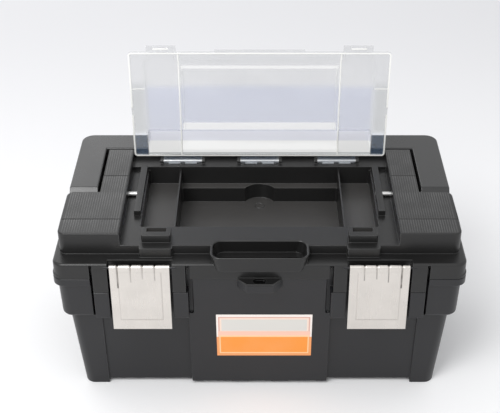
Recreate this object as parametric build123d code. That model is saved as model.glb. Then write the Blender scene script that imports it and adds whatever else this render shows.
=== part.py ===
from build123d import *

import os

# Portable tool box, millimetres. X runs along the front from left to right, the front faces -Y, Z is up.
# The origin is on the floor under the middle of the box. The main lid is shut, the latches are shut,
# the carry handle is folded to the rear and the clear cover stands open.

# Rim and tub
rim_width = 436.0
rim_depth = 230.0
rim_corner = 12.0
tub_height = 165.0
wall = 2.6
floor_wall = 3.0
lip_height = 9.0
lip_side_reach = 1.2
lip_flange_height = 4.2
lip_edge_radius = 1.0
band_height = 44.0
band_foot_radius = 4.0
band_inset = 2.8
band_foot_inset = 4.0
body_top_inset = 13.5
body_foot_inset = 21.5
body_side_outset = 3.6
body_corner = 11.0
foot_height = 5.0
foot_length = 27.6
pad_height = 4.0
pad_width = 22.0
panel_pad_width = 20.0
panel_pad_station = 22.5
panel_end_pad_width = 13.0

# Raised and sunk panels on the walls of the tub
panel_width = 154.0
panel_top_inset = 3.0
panel_foot_inset = 19.5
panel_foot_z = 5.0
recess_depth = 2.5
corner_post_width = 27.6
side_recess_length = 124.0

# Main lid
parting_gap = 0.3
skirt_height = 19.3
skirt_edge_radius = 3.0
block_height = 25.8
block_edge_radius = 1.6
ledge_edge_radius = 1.0
block_corner = 8.0
side_shoulder = 5.5
front_shoulder = 19.5
rear_shelf = 37.0
well_width = 294.6
well_depth = 14.8
hinge_ledge_depth = 10.4
line_width = 1.5
line_depth = 0.7
rear_line_from_front = 114.5
front_line_from_front = 27.5

# Organiser bins in the lid
bin_wall = 2.2
bin_width = 257.0
bin_front_margin = 34.6
bin_length = 116.1
side_bin_depth = 18.6
middle_bin_depth = 37.6
rear_step_length = 10.0
finger_notch_radius = 20.0
finger_notch_margin = 0.5
divider_offset = 91.7
divider_thickness = 1.6
divider_groove = 0.8
divider_clearance = 0.05
mark_radius = 5.7
mark_height = 0.9
mark_wall = 1.0
mark_from_rear = 18.7
side_rib_width = 7.5
side_rib_gap = 1.5
side_rib_length = 95.0
side_rib_height = 6.4

# Rear hinge of the main lid
hinge_station = 125.0
hinge_pin_radius = 2.0
hinge_knuckle_radius = 4.5
hinge_running_gap = 0.05
hinge_middle_length = 28.0
hinge_outer_length = 14.0
hinge_side_gap = 0.5
hinge_web_height = 6.0

# Padlock lug
lug_width = 48.0
lug_nose_width = 28.0
lug_reach = 11.3
lug_nose_length = 10.8
lug_height = 9.0
lid_lug_height = 2.0
lug_slot_length = 13.6
lug_slot_width = 8.4
lug_slot_margin = 1.7

# Finger scoop at the front of the lid
scoop_width = 105.0
scoop_foot_width = 97.0
scoop_reach = 4.0
scoop_height = 17.6
scoop_wall = 2.4
scoop_side_wall = 3.0
scoop_rim_radius = 0.9
scoop_floor = 3.0
scoop_rear_margin = 10.5
scoop_corner = 11.0

# Latches
latch_station = 126.0
latch_width = 63.0
latch_side_gap = 2.5
latch_plate_thickness = 1.2
latch_pin_radius = 1.5
latch_knuckle_radius = 3.0
latch_running_gap = 0.05
latch_pin_below_shoulder = 4.6
latch_pin_inset = 1.0
latch_length = 78.0
latch_flare = 3.0
latch_pin_seat = 4.0
emboss_width = 46.0
emboss_top_margin = 3.0
emboss_foot_margin = 13.0
emboss_height = 0.6
hook_width = 24.0
hook_height = 3.5
hook_strip = 1.6
hook_above_end = 10.0
hook_engagement = 1.0
catch_gap = 7.0
catch_height = 4.0
catch_reach = 8.0
catch_width = 28.0
pocket_depth = 11.0
lid_pocket_depth = 8.5
post_width = 16.0
post_reach = 1.5
post_bevel = 2.5
post_top_drop = 4.6
post_top_bevel = 6.0
channel_width = 4.6
outer_channel_width = 3.0
lid_channel_bite = 2.0
channel_foot_rise = 1.0
post_tail = 16.0
post_split_gap = 0.5

# Clear cover over the organiser
cover_side_gap = 1.5
cover_thickness = 1.8
cover_wall = 2.0
cover_top_below_blocks = 2.0
cover_skirt_gap = 0.6
cover_corner = 4.0
cover_rear_to_hinge = 7.0
cover_length = 132.6
cover_step = 4.2
cover_dome_side_margin = 15.3
cover_dome_corner = 3.0
cover_dome_side_bevel = 1.5
cover_dome_front_margin = 7.6
cover_dome_front_bevel = 2.0
cover_dome_rear_margin = 7.5
cover_dome_rear_bevel = 9.8
cover_panel_rise = 1.8
cover_panel_side_margin = 42.5
cover_panel_front_margin = 19.4
cover_panel_front_slope = 4.2
cover_panel_rear_margin = 30.5
cover_panel_rear_slope = 9.4
cover_rib_offset = 90.5
cover_rib_width = 1.4
cover_cross_rib_from_hinge = 94.0
cover_tab_width = 33.0
cover_tab_reach = 5.4
cover_leg_width = 17.0
cover_leg_thickness = 2.0
cover_leg_length = 6.0
cover_pull_width = 100.0
cover_pull_reach = 2.4
cover_notch_width = 10.0
cover_hinge_from_rear = 12.0
cover_hinge_above_ledge = 1.5
cover_pin_radius = 2.0
cover_knuckle_radius = 3.6
cover_knuckle_length = 44.0
cover_hinge_pitch = 90.0
cover_ear_thickness = 3.5
cover_ear_gap = 0.5
cover_ear_radius = 4.0
cover_running_gap = 0.05

# Catch blocks for the clear cover
catch_block_width = 31.0
catch_block_length = 16.5
catch_block_height = 9.0
catch_block_station = 109.5
catch_block_gap = 0.7
catch_slot_width = 21.0
catch_slot_length = 6.8
catch_slot_margin = 1.6
catch_slot_depth = 8.0
front_boss_width = 35.0
front_boss_reach = 6.5

# Carry handle
handle_pivot_y = 0.0
handle_pivot_above_ledge = 2.7
handle_pin_radius = 2.5
handle_running_gap = 0.05
handle_pin_arm_seat = 26.0
handle_arm_width = 31.6
handle_outset = -0.9
handle_side_gap = 3.0
handle_grip_gap = 2.0
handle_grip_depth = 32.0
handle_floor_gap = 2.4
handle_wall = 2.8
handle_corner = 14.0
handle_end_reach = 11.5
handle_end_bevel = 7.5
handle_foot_bevel = 5.5
handle_swing_gap = 0.9
handle_boss_length = 13.0
handle_rib_count = 7
handle_rib_thickness = 2.0

# Tray inside the tub
tray_gap = 3.0
tray_depth = 40.0
tray_wall = 2.0
tray_draft = 4.0
tray_flange_thickness = 2.4
tray_flange_gap_x = 1.5
tray_flange_gap_y = 0.6
tray_handle_span = 120.0
tray_handle_post = 10.0
tray_handle_thickness = 8.0
tray_handle_height = 30.0
tray_handle_bar = 7.0

# Label on the centre panel
label_width = 105.0
label_height = 64.0
label_thickness = 0.3
label_offset = 5.0
label_foot_z = 47.0

# Sizes and places that follow from those above
rim_x = rim_width / 2
rim_y = rim_depth / 2
lip_x = rim_x + lip_side_reach
body_foot_x = rim_x + body_side_outset - body_foot_inset
lid_base_z = tub_height + parting_gap
shoulder_z = lid_base_z + skirt_height
block_top_z = shoulder_z + block_height
ledge_z = block_top_z - well_depth
hinge_ledge_z = block_top_z - hinge_ledge_depth
lip_z = tub_height - lip_height
band_z = lip_z - band_height
floor_z = foot_height + floor_wall
panel_x = panel_width / 2

block_x = rim_x - side_shoulder
block_front_y = front_shoulder - rim_y
block_rear_y = rim_y - rear_shelf
well_x = well_width / 2

handle_pivot_z = ledge_z + handle_pivot_above_ledge
handle_x = block_x + handle_outset
arm_inner_x = handle_x - handle_arm_width
plateau_x = arm_inner_x - handle_side_gap
grip_front_y = block_rear_y + handle_grip_gap
grip_rear_y = grip_front_y + handle_grip_depth
handle_foot_z = shoulder_z + handle_floor_gap
swing_radius = ((handle_end_reach) ** 2 + (handle_pivot_z - handle_foot_z - handle_foot_bevel) ** 2) ** 0.5
arm_pocket_y = handle_pivot_y - swing_radius - handle_swing_gap

bin_x = bin_width / 2
bin_front_y = block_front_y + bin_front_margin
bin_rear_y = bin_front_y + bin_length
side_floor_z = ledge_z - side_bin_depth
middle_floor_z = ledge_z - middle_bin_depth
step_y = bin_rear_y - rear_step_length
middle_x = divider_offset - divider_thickness / 2
side_rib_x = bin_x + side_rib_gap

hinge_z = tub_height
hinge_y = rim_y + lug_reach - hinge_knuckle_radius

latch_pin_y = latch_pin_inset - rim_y
latch_pin_z = shoulder_z - latch_pin_below_shoulder
latch_x0 = latch_station - latch_width / 2
latch_x1 = latch_station + latch_width / 2
pocket_x0 = latch_x0 - latch_side_gap
pocket_x1 = latch_x1 + latch_side_gap
post_x0 = pocket_x0 - post_width
post_x1 = pocket_x1 + post_width
post_front_y = -rim_y - post_reach
pocket_y = pocket_depth - rim_y
lid_pocket_y = lid_pocket_depth - rim_y
post_tail_z = tub_height - post_tail
latch_end_z = latch_pin_z - latch_length
latch_front_y = latch_pin_y - latch_knuckle_radius
catch_front_y = pocket_y - catch_reach
hook_z = latch_end_z + hook_above_end
catch_z = hook_z + hook_height + catch_gap

cover_x = well_x - cover_side_gap
cover_top_z = block_top_z - cover_top_below_blocks
cover_shelf_z = cover_top_z - cover_step
cover_foot_z = hinge_ledge_z + cover_skirt_gap
cover_hinge_y = block_rear_y - cover_hinge_from_rear
cover_hinge_z = hinge_ledge_z + cover_hinge_above_ledge
cover_rear_y = cover_hinge_y - cover_rear_to_hinge
cover_front_y = cover_rear_y - cover_length
cover_dome_x = cover_x - cover_dome_side_margin
cover_centres = (-cover_hinge_pitch, 0.0, cover_hinge_pitch)
catch_block_rear_y = cover_front_y - catch_block_gap
catch_block_front_y = catch_block_rear_y - catch_block_length
catch_slot_rear_y = catch_block_rear_y - catch_slot_margin
catch_slot_front_y = catch_slot_rear_y - catch_slot_length
catch_block_top_z = ledge_z + catch_block_height
scoop_rear_y = block_front_y + scoop_rear_margin
scoop_front_y = -rim_y - scoop_reach


def slab(x0, x1, y0, y1, z0, z1):
    """A box between two corners."""
    return Pos((x0 + x1) / 2, (y0 + y1) / 2, (z0 + z1) / 2) * Box(x1 - x0, y1 - y0, z1 - z0)


def rounded(x0, x1, y0, y1, z0, z1, radius):
    """A box with upright edges rounded."""
    outline = Pos((x0 + x1) / 2, (y0 + y1) / 2, z0) * RectangleRounded(x1 - x0, y1 - y0, radius)
    return extrude(outline, amount=z1 - z0, dir=(0, 0, 1))


def both(shape):
    """The shape and its mirror image on the other side of the box."""
    return shape + mirror(shape, about=Plane.YZ)


def drafted(inset0, radius0, z0, inset1, radius1, z1, outset=0.0):
    """A drafted block between two levels, each given as its inset from the rim, wider by the outset per side."""
    width = rim_width + 2 * outset
    low = Pos(0, 0, z0) * RectangleRounded(width - 2 * inset0, rim_depth - 2 * inset0, radius0)
    high = Pos(0, 0, z1) * RectangleRounded(width - 2 * inset1, rim_depth - 2 * inset1, radius1)
    return loft([low, high], ruled=True)


def profile_x(points, x0, x1):
    """A profile of Y and Z points, drawn out along X."""
    return extrude(Plane.YZ.offset(x0) * Polygon(*points, align=None), amount=x1 - x0, dir=(1, 0, 0))


def profile_y(points, y0, y1):
    """A profile of X and Z points, drawn out along Y."""
    face = Plane(origin=(0, y0, 0), x_dir=(1, 0, 0), z_dir=(0, -1, 0)) * Polygon(*points, align=None)
    return extrude(face, amount=y1 - y0, dir=(0, 1, 0))


def plan(points, z0, z1):
    """An outline of X and Y points, drawn up along Z."""
    return extrude(Pos(0, 0, z0) * Polygon(*points, align=None), amount=z1 - z0, dir=(0, 0, 1))


def rod(x0, x1, y, z, radius):
    """A round rod along X."""
    return Pos((x0 + x1) / 2, y, z) * Rot(0, 90, 0) * Cylinder(radius, x1 - x0)


def body_inset(z):
    """Inset of the lower tub wall from the rim at a height."""
    return body_foot_inset + (body_top_inset - body_foot_inset) * z / band_z


def panel_face(z):
    """Y of the raised centre panel's face at a height."""
    inset = panel_foot_inset + (panel_top_inset - panel_foot_inset) * z / tub_height
    return inset - rim_y


def wall_recesses(extra):
    """Cutters for the sunk fields of the lower walls, grown by extra into the wall."""
    depth = recess_depth + extra
    x0 = panel_x - extra
    x1 = body_foot_x - corner_post_width + extra
    top = band_z + extra
    front = [
        (-rim_y, 0.0),
        (body_inset(0) - rim_y + depth, 0.0),
        (body_inset(top) - rim_y + depth, top),
        (-rim_y, top),
    ]
    field = profile_x(front, x0, x1)
    fields = both(field + mirror(field, about=Plane.XZ))
    half = side_recess_length / 2 + extra
    side = [
        (rim_x, 0.0),
        (rim_x + body_side_outset - body_inset(0) - depth, 0.0),
        (rim_x + body_side_outset - body_inset(top) - depth, top),
        (rim_x, top),
    ]
    return fields + both(profile_y(side, -half, half))


def latch_pockets(extra):
    """Cutters for the latch pockets in the band and the lip, grown by extra into the wall."""
    y1 = pocket_y + extra
    low = slab(pocket_x0 - extra, pocket_x1 + extra, -2 * rim_y, y1, band_z - extra, 2 * tub_height)
    tail_z = post_tail_z - post_split_gap - extra
    high = slab(post_x0 - parting_gap - extra, post_x1 + parting_gap + extra, -2 * rim_y, y1,
                tail_z, 2 * tub_height)
    return both(low + high)


def channel(x0, x1, extra):
    """Cutter for one upright channel of the tub with a round foot, grown by extra into the wall."""
    radius = (x1 - x0) / 2 + extra
    foot_z = band_z + channel_foot_rise + (x1 - x0) / 2
    y1 = pocket_y + extra
    upright = slab(x0 - extra, x1 + extra, -2 * rim_y, y1, foot_z, 2 * tub_height)
    middle = ((x0 + x1) / 2, (y1 - 2 * rim_y) / 2, foot_z)
    return upright + Pos(*middle) * Rot(90, 0, 0) * Cylinder(radius, y1 + 2 * rim_y)


def tub_channels(extra):
    """Cutters for the channels on both sides of each pair of posts, grown by extra into the wall."""
    inner = channel(post_x0 - channel_width, post_x0, extra)
    return both(inner + channel(post_x1, post_x1 + outer_channel_width, extra))


def lid_channels():
    """Cutters for the lid's channels beside the posts, which run out at the skirt's upper edge."""
    foot_z = post_tail_z - 1
    top = shoulder_z - skirt_edge_radius / 2
    profile = [(-2 * rim_y, foot_z), (lid_pocket_y, foot_z), (lid_pocket_y, top - rim_y - lid_pocket_y),
               (-rim_y, top), (-2 * rim_y, top)]
    inner = profile_x(profile, post_x0 + lid_channel_bite - channel_width, post_x0 + lid_channel_bite)
    return both(inner + profile_x(profile, post_x1, post_x1 + outer_channel_width))


def panel_field(extra):
    """The space in front of the centre panel's face, or of its inner face, as wide as the panel."""
    return profile_x([(panel_face(0) + extra, 0), (-2 * rim_y, 0), (-2 * rim_y, tub_height),
                      (panel_face(tub_height) + extra, tub_height)], -panel_x - extra, panel_x + extra)


def tub_posts():
    """The lower halves of the posts beside each latch."""
    top = post_tail_z - post_split_gap
    profile = [
        (pocket_y - wall, band_z),
        (post_front_y + post_bevel, band_z),
        (post_front_y, band_z + post_bevel),
        (post_front_y, top),
        (pocket_y - wall, top),
    ]
    return both(profile_x(profile, pocket_x1, post_x1) + profile_x(profile, post_x0, pocket_x0))


def lug(z0, z1):
    """The six-sided padlock lug between two heights, with its slot."""
    half = lug_width / 2
    nose = lug_nose_width / 2
    root = panel_top_inset - rim_y + wall / 2
    front = -rim_y - lug_reach
    outline = [(-half, root), (-half, front + lug_nose_length), (-nose, front), (nose, front),
               (half, front + lug_nose_length), (half, root)]
    return plan(outline, z0, z1)


def lug_slot():
    """Cutter for the slot that the padlock's shackle goes through."""
    centre_y = -rim_y - lug_reach + lug_slot_margin + lug_slot_width / 2
    outline = Pos(0, centre_y, 0) * SlotOverall(lug_slot_length, lug_slot_width)
    z0 = tub_height - 2 * lug_height
    return extrude(Pos(0, 0, z0) * outline, amount=3 * lug_height, dir=(0, 0, 1))


def hinge_knuckle(x0, x1, up):
    """One knuckle of the rear hinge, with its web to the wall above or below the parting line."""
    barrel = rod(x0, x1, hinge_y, hinge_z, hinge_knuckle_radius)
    z0 = lid_base_z if up else hinge_z - hinge_web_height
    z1 = lid_base_z + hinge_web_height if up else tub_height
    web = slab(x0, x1, rim_y - wall / 2, hinge_y, z0, z1)
    return barrel + web - rod(x0 - 1, x1 + 1, hinge_y, hinge_z, hinge_pin_radius + hinge_running_gap)


def tub_shell():
    """The tub with its rim, feet, panels, latch posts and hinge knuckles."""
    body = drafted(body_foot_inset, body_corner, 0, body_top_inset, body_corner, band_z, body_side_outset)
    band = drafted(band_foot_inset, rim_corner, band_z, band_inset, rim_corner, lip_z)
    band = fillet(band.faces().sort_by(Axis.Z)[0].edges(), band_foot_radius)
    lip = rounded(-lip_x, lip_x, -rim_y, rim_y, lip_z, tub_height, rim_corner)
    lip = fillet(lip.faces().filter_by(Axis.Z).edges(), lip_edge_radius)
    feet_cut = slab(foot_length - body_foot_x, body_foot_x - foot_length, -rim_y, rim_y, 0, foot_height)
    feet_cut += slab(-rim_x, rim_x, -rim_y + body_foot_inset + foot_length,
                     rim_y - body_foot_inset - foot_length, 0, foot_height)
    panel = profile_x([(panel_face(panel_foot_z), panel_foot_z), (panel_face(tub_height), tub_height),
                       (panel_face(tub_height) + wall, tub_height),
                       (panel_face(panel_foot_z) + 2 * wall + recess_depth, panel_foot_z)],
                      -panel_x, panel_x)
    outer = body + band + lip - feet_cut - wall_recesses(0) - panel_field(0) + panel
    outer = outer - latch_pockets(0) - tub_channels(0) + tub_posts()
    for side in (-1, 1):
        centre = side * latch_station
        pad_y = rim_y - body_foot_inset - recess_depth - wall
        outer += slab(centre - pad_width / 2, centre + pad_width / 2, -pad_y, pad_y, pad_height, foot_height)
        end = panel_x - panel_end_pad_width / 2
        for place, width in ((panel_pad_station, panel_pad_width), (end, panel_end_pad_width)):
            x = side * place
            outer += slab(x - width / 2, x + width / 2, panel_face(panel_foot_z), pad_y, pad_height, panel_foot_z)
        outer += slab(centre - catch_width / 2, centre + catch_width / 2, catch_front_y, pocket_y,
                      catch_z, catch_z + catch_height)
        hinge_x = side * hinge_station
        outer += hinge_knuckle(hinge_x - hinge_middle_length / 2, hinge_x + hinge_middle_length / 2, False)

    low = drafted(body_inset(floor_z) + wall, body_corner - wall, floor_z,
                  body_top_inset + wall, body_corner - wall, band_z + wall, body_side_outset)
    high = drafted(band_foot_inset + wall, rim_corner - wall, band_z + wall,
                   band_inset + wall, rim_corner - wall, tub_height)
    bulge = profile_x([(panel_face(floor_z) + wall, floor_z), (panel_face(tub_height) + wall, tub_height),
                       (0, tub_height), (0, floor_z)], wall - panel_x, panel_x - wall)
    cavity = low - wall_recesses(wall) + high - panel_field(wall) + bulge
    cavity = cavity - latch_pockets(wall) - tub_channels(wall)
    shell = outer - cavity
    shell += lug(tub_height - lug_height, tub_height)
    return shell - lug_slot()


def lid_blocks(inset, top_z):
    """The raised part of the lid: full width at the front, narrower between the handle's arms."""
    front = rounded(-block_x + inset, block_x - inset, block_front_y + inset, arm_pocket_y - inset,
                    lid_base_z, top_z, block_corner - inset)
    rear = slab(-plateau_x + inset, plateau_x - inset, arm_pocket_y - inset - block_corner,
                block_rear_y - inset, lid_base_z, top_z)
    return front + rear


def lid_posts():
    """The upper halves of the posts beside each latch, with tails that hang below the parting line."""
    top = shoulder_z - post_top_drop
    profile = [
        (lid_pocket_y, post_tail_z),
        (post_front_y, post_tail_z),
        (post_front_y, top - post_top_bevel),
        (-rim_y, top),
        (lid_pocket_y, top),
    ]
    return both(profile_x(profile, pocket_x1, post_x1)
                + profile_x(profile, post_x0 + lid_channel_bite, pocket_x0))


def scoop_section(z, side_inset, inset):
    """The scoop's outline at a height, narrower towards its foot."""
    z0 = ledge_z - scoop_height
    half = (scoop_foot_width + (scoop_width - scoop_foot_width) * (z - z0) / scoop_height) / 2 - side_inset
    front = scoop_front_y + inset
    rear = scoop_rear_y - inset
    return Pos(0, (front + rear) / 2, z) * RectangleRounded(2 * half, rear - front, scoop_corner - inset)


def scoop():
    """The outside of the finger scoop, with its rim rounded off."""
    z1 = ledge_z
    z0 = z1 - scoop_rim_radius
    block = loft([scoop_section(z1 - scoop_height, 0, 0), scoop_section(z0, 0, 0)], ruled=True)
    return block + loft([scoop_section(z0, 0, 0), scoop_section(z1, scoop_rim_radius, scoop_rim_radius)], ruled=True)


def cover_ears():
    """The ears on the rear ledge that hold the pins of the clear cover."""
    ears = Part()
    for centre in cover_centres:
        for side in (-1, 1):
            x0 = centre + side * (cover_knuckle_length / 2 + cover_ear_gap)
            x1 = x0 + side * cover_ear_thickness
            low, high = min(x0, x1), max(x0, x1)
            ear = rod(low, high, cover_hinge_y, cover_hinge_z, cover_ear_radius)
            ear += slab(low, high, cover_hinge_y - cover_ear_radius, cover_hinge_y + cover_ear_radius,
                        hinge_ledge_z - wall, cover_hinge_z)
            ears += ear
    return ears


def cover_hinge_pockets(extra):
    """Cutters for the hollows under the cover's knuckles, grown by extra."""
    cuts = Part()
    for centre in cover_centres:
        half = cover_knuckle_length / 2 + cover_ear_gap + extra
        reach = cover_knuckle_radius + cover_ear_gap + extra
        cuts += slab(centre - half, centre + half, cover_hinge_y - reach, cover_hinge_y + reach,
                     cover_hinge_z - reach, block_top_z)
    return cuts


def bins_outer():
    """The walls and floors of the organiser, before they are hollowed."""
    side = rounded(-bin_x - bin_wall, bin_x + bin_wall, bin_front_y - bin_wall, bin_rear_y + bin_wall,
                   side_floor_z - bin_wall, ledge_z, bin_wall)
    middle = rounded(-middle_x - bin_wall, middle_x + bin_wall, bin_front_y - bin_wall,
                     bin_rear_y + bin_wall, middle_floor_z - bin_wall, ledge_z, bin_wall)
    return side + middle


def bins_hollow():
    """Cutters for the organiser's bins, the grooves for its dividers and the finger notch."""
    side = rounded(-bin_x, bin_x, bin_front_y, bin_rear_y, side_floor_z, block_top_z, bin_wall)
    middle = rounded(-middle_x, middle_x, bin_front_y, step_y, middle_floor_z, block_top_z, bin_wall)
    notch_y = bin_rear_y - finger_notch_margin - finger_notch_radius
    notch = Pos(0, notch_y, (middle_floor_z + ledge_z) / 2) * Cylinder(finger_notch_radius,
                                                                      ledge_z - middle_floor_z)
    x0 = middle_x - divider_clearance
    x1 = middle_x + divider_thickness + divider_clearance
    groove = divider_groove + divider_clearance
    grooves = both(slab(x0, x1, bin_front_y - groove, bin_rear_y + groove, side_floor_z, block_top_z))
    return side + middle + notch + grooves


def lid_shell():
    """The main lid with its organiser, shoulders, posts, scoop, lug and hinge knuckles."""
    skirt = rounded(-rim_x, rim_x, -rim_y, rim_y, lid_base_z + lip_flange_height / 2, shoulder_z, rim_corner)
    skirt = fillet(skirt.faces().sort_by(Axis.Z)[-1].edges(), skirt_edge_radius)
    flange = rounded(-lip_x, lip_x, -rim_y, rim_y, lid_base_z, lid_base_z + lip_flange_height, rim_corner)
    skirt += fillet(flange.faces().filter_by(Axis.Z).edges(), lip_edge_radius)
    well = slab(-well_x, well_x, 2 * block_front_y, 2 * rim_y, ledge_z, 2 * block_top_z)
    blocks = lid_blocks(0, block_top_z) - well
    blocks = fillet(blocks.faces().filter_by(Axis.Z).group_by(Axis.Z)[-1].edges(), block_edge_radius)
    lip = [e for e in blocks.edges().filter_by(Axis.X) if abs(e.center().Z - ledge_z) < parting_gap]
    blocks = fillet(ShapeList(lip).sort_by(Axis.Y)[0], ledge_edge_radius)
    ledge = slab(-well_x, well_x, bin_rear_y, block_rear_y, lid_base_z, hinge_ledge_z)
    outer = skirt + blocks + ledge
    for station in (-catch_block_station, catch_block_station):
        half = catch_block_width / 2
        outer += rounded(station - half, station + half, catch_block_front_y, catch_block_rear_y,
                         ledge_z - wall, catch_block_top_z, bin_wall)
        half = front_boss_width / 2
        outer += rounded(station - half, station + half, block_front_y - front_boss_reach,
                         block_front_y + wall, shoulder_z - wall, ledge_z, bin_wall)
    outer += scoop()

    pockets = both(slab(pocket_x0, pocket_x1, -2 * rim_y, lid_pocket_y, 0, 2 * block_top_z))
    grown = both(slab(post_x0 + lid_channel_bite - channel_width - wall,
                      post_x1 + outer_channel_width + wall, -2 * rim_y, lid_pocket_y + wall, 0,
                      2 * block_top_z))
    scoop_keep = slab(-scoop_width / 2 - wall, scoop_width / 2 + wall, -2 * rim_y, scoop_rear_y + wall,
                      ledge_z - scoop_height, 2 * block_top_z)
    hollow = rounded(wall - rim_x, rim_x - wall, wall - rim_y, rim_y - wall, lid_base_z,
                     shoulder_z - wall, rim_corner - wall)
    raised = lid_blocks(wall, block_top_z - wall)
    raised -= slab(-well_x - wall, well_x + wall, -rim_y, rim_y, ledge_z - wall, 2 * block_top_z)
    raised += slab(-well_x - wall, well_x + wall, bin_rear_y + wall, block_rear_y - wall, lid_base_z,
                   hinge_ledge_z - wall)
    shell = outer - pockets - lid_channels() - (hollow + raised - grown - scoop_keep - cover_hinge_pockets(wall))

    shell += lid_posts() + bins_outer() + cover_ears()
    shell += both(slab(side_rib_x, side_rib_x + side_rib_width, bin_rear_y - side_rib_length, bin_rear_y,
                       ledge_z - wall, ledge_z + side_rib_height))
    shell += lug(lid_base_z, lid_base_z + lid_lug_height)
    for hinge_x in (-hinge_station, hinge_station):
        gap = hinge_middle_length / 2 + hinge_side_gap
        shell += hinge_knuckle(hinge_x - gap - hinge_outer_length, hinge_x - gap, True)
        shell += hinge_knuckle(hinge_x + gap, hinge_x + gap + hinge_outer_length, True)

    shell -= bins_hollow() + scoop_trough() + lug_slot() + cover_hinge_pockets(0)
    shell -= catch_slots() + lid_lines() + pin_bores()
    mark = Pos(0, bin_rear_y - mark_from_rear, middle_floor_z + mark_height / 2) * (
        Cylinder(mark_radius, mark_height) - Cylinder(mark_radius - mark_wall, mark_height))
    return shell + mark


def scoop_trough():
    """Cutter for the hollow of the finger scoop, widened at the rim."""
    z1 = ledge_z
    z0 = z1 - scoop_rim_radius
    low = scoop_section(z1 - scoop_height + scoop_floor, scoop_side_wall, scoop_wall)
    neck = scoop_section(z0, scoop_side_wall, scoop_wall)
    mouth = scoop_section(z1, scoop_side_wall - scoop_rim_radius, scoop_wall - scoop_rim_radius)
    return loft([low, neck], ruled=True) + loft([neck, mouth], ruled=True)


def catch_slots():
    """Cutters for the slots that the cover's snap legs enter."""
    half = catch_slot_width / 2
    slot = slab(catch_block_station - half, catch_block_station + half, catch_slot_front_y,
                catch_slot_rear_y, catch_block_top_z - catch_slot_depth, block_top_z)
    return both(slot)


def lid_lines():
    """Cutters for the fine sloped steps across the tops of the side blocks."""
    z0 = block_top_z - line_depth
    half = line_width / 2
    lines = Part()
    for from_front, end_x in ((rear_line_from_front, plateau_x), (front_line_from_front, block_x)):
        y = block_front_y + from_front
        step = [(y + half, block_top_z), (y - half, z0), (y - half, block_top_z + half),
                (y + half, block_top_z + half)]
        lines += profile_x(step, well_x, end_x)
    return both(lines)


def pin_bores():
    """Cutters for the bores that hold the handle's, the cover's and the latches' pins in the lid."""
    bores = both(rod(side_rib_x, arm_inner_x, handle_pivot_y, handle_pivot_z,
                     handle_pin_radius + handle_running_gap))
    for centre in cover_centres:
        half = cover_knuckle_length / 2 + cover_ear_gap + cover_ear_thickness
        bores += rod(centre - half, centre + half, cover_hinge_y, cover_hinge_z,
                     cover_pin_radius + cover_running_gap)
    bores += both(rod(pocket_x0 - latch_pin_seat, pocket_x1 + latch_pin_seat, latch_pin_y, latch_pin_z,
                      latch_pin_radius + latch_running_gap))
    return bores


def bin_divider(side):
    """One thin divider, standing in its grooves on the wall beside the middle bin."""
    x0 = side * (middle_x + divider_thickness / 2) - divider_thickness / 2
    return slab(x0, x0 + divider_thickness, bin_front_y - divider_groove, bin_rear_y + divider_groove,
                side_floor_z, ledge_z)


def latch(side):
    """One stamped latch plate with its rolled knuckle, raised field and hook."""
    x0, x1 = latch_x0, latch_x1
    end_y = latch_front_y - latch_flare
    back = latch_plate_thickness
    plate = profile_x([(latch_front_y, latch_pin_z), (end_y, latch_end_z), (end_y + back, latch_end_z),
                       (latch_front_y + back, latch_pin_z)], x0, x1)
    plate += rod(x0, x1, latch_pin_y, latch_pin_z, latch_knuckle_radius)

    def face(z):
        return latch_front_y - latch_flare * (latch_pin_z - z) / latch_length

    top = latch_pin_z - emboss_top_margin
    foot = latch_end_z + emboss_foot_margin
    half = emboss_width / 2
    plate += profile_x([(face(top) - emboss_height, top), (face(foot) - emboss_height, foot),
                        (face(foot) + back / 2, foot), (face(top) + back / 2, top)],
                       latch_station - half, latch_station + half)
    nose_y = catch_front_y + hook_engagement
    nose_top = hook_z + hook_height
    half = hook_width / 2
    plate += profile_x([(face(hook_z) + back / 2, hook_z), (face(nose_top) + back / 2, nose_top),
                        (nose_y, nose_top), (nose_y, nose_top - hook_strip),
                        (nose_y - hook_strip, hook_z)], latch_station - half, latch_station + half)
    plate -= rod(x0 - 1, x1 + 1, latch_pin_y, latch_pin_z, latch_pin_radius + latch_running_gap)
    return plate if side > 0 else mirror(plate, about=Plane.YZ)


def latch_pin(side):
    """The steel pin of one latch, held in the posts."""
    seat = latch_pin_seat - latch_running_gap
    pin = rod(pocket_x0 - seat, pocket_x1 + seat, latch_pin_y, latch_pin_z, latch_pin_radius)
    return pin if side > 0 else mirror(pin, about=Plane.YZ)


def cover_block(inset, drop):
    """The outside of the shut cover, or with an inset and a drop the hollow inside it."""
    z0 = cover_foot_z
    shelf_z = cover_shelf_z - drop
    top_z = cover_top_z - drop
    block = rounded(inset - cover_x, cover_x - inset, cover_front_y + inset, cover_rear_y - inset, z0,
                    shelf_z, cover_corner - inset)
    sections = []
    for z, side, front, rear in (
        (shelf_z, 0.0, 0.0, 0.0),
        (top_z, cover_dome_side_bevel, cover_dome_front_bevel, cover_dome_rear_bevel),
    ):
        x1 = cover_dome_x - side - inset
        y0 = cover_front_y + cover_dome_front_margin + front + inset
        y1 = cover_rear_y - cover_dome_rear_margin - rear - inset
        outline = RectangleRounded(2 * x1, y1 - y0, cover_dome_corner - inset / 2)
        sections.append(Pos(0, (y0 + y1) / 2, z) * outline)
    block += loft(sections, ruled=True)
    half = cover_tab_width / 2 - inset
    for station in (-catch_block_station, catch_block_station):
        block += slab(station - half, station + half, cover_front_y + inset,
                      cover_front_y + 2 * cover_dome_front_margin, z0, top_z)
    return block


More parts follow.
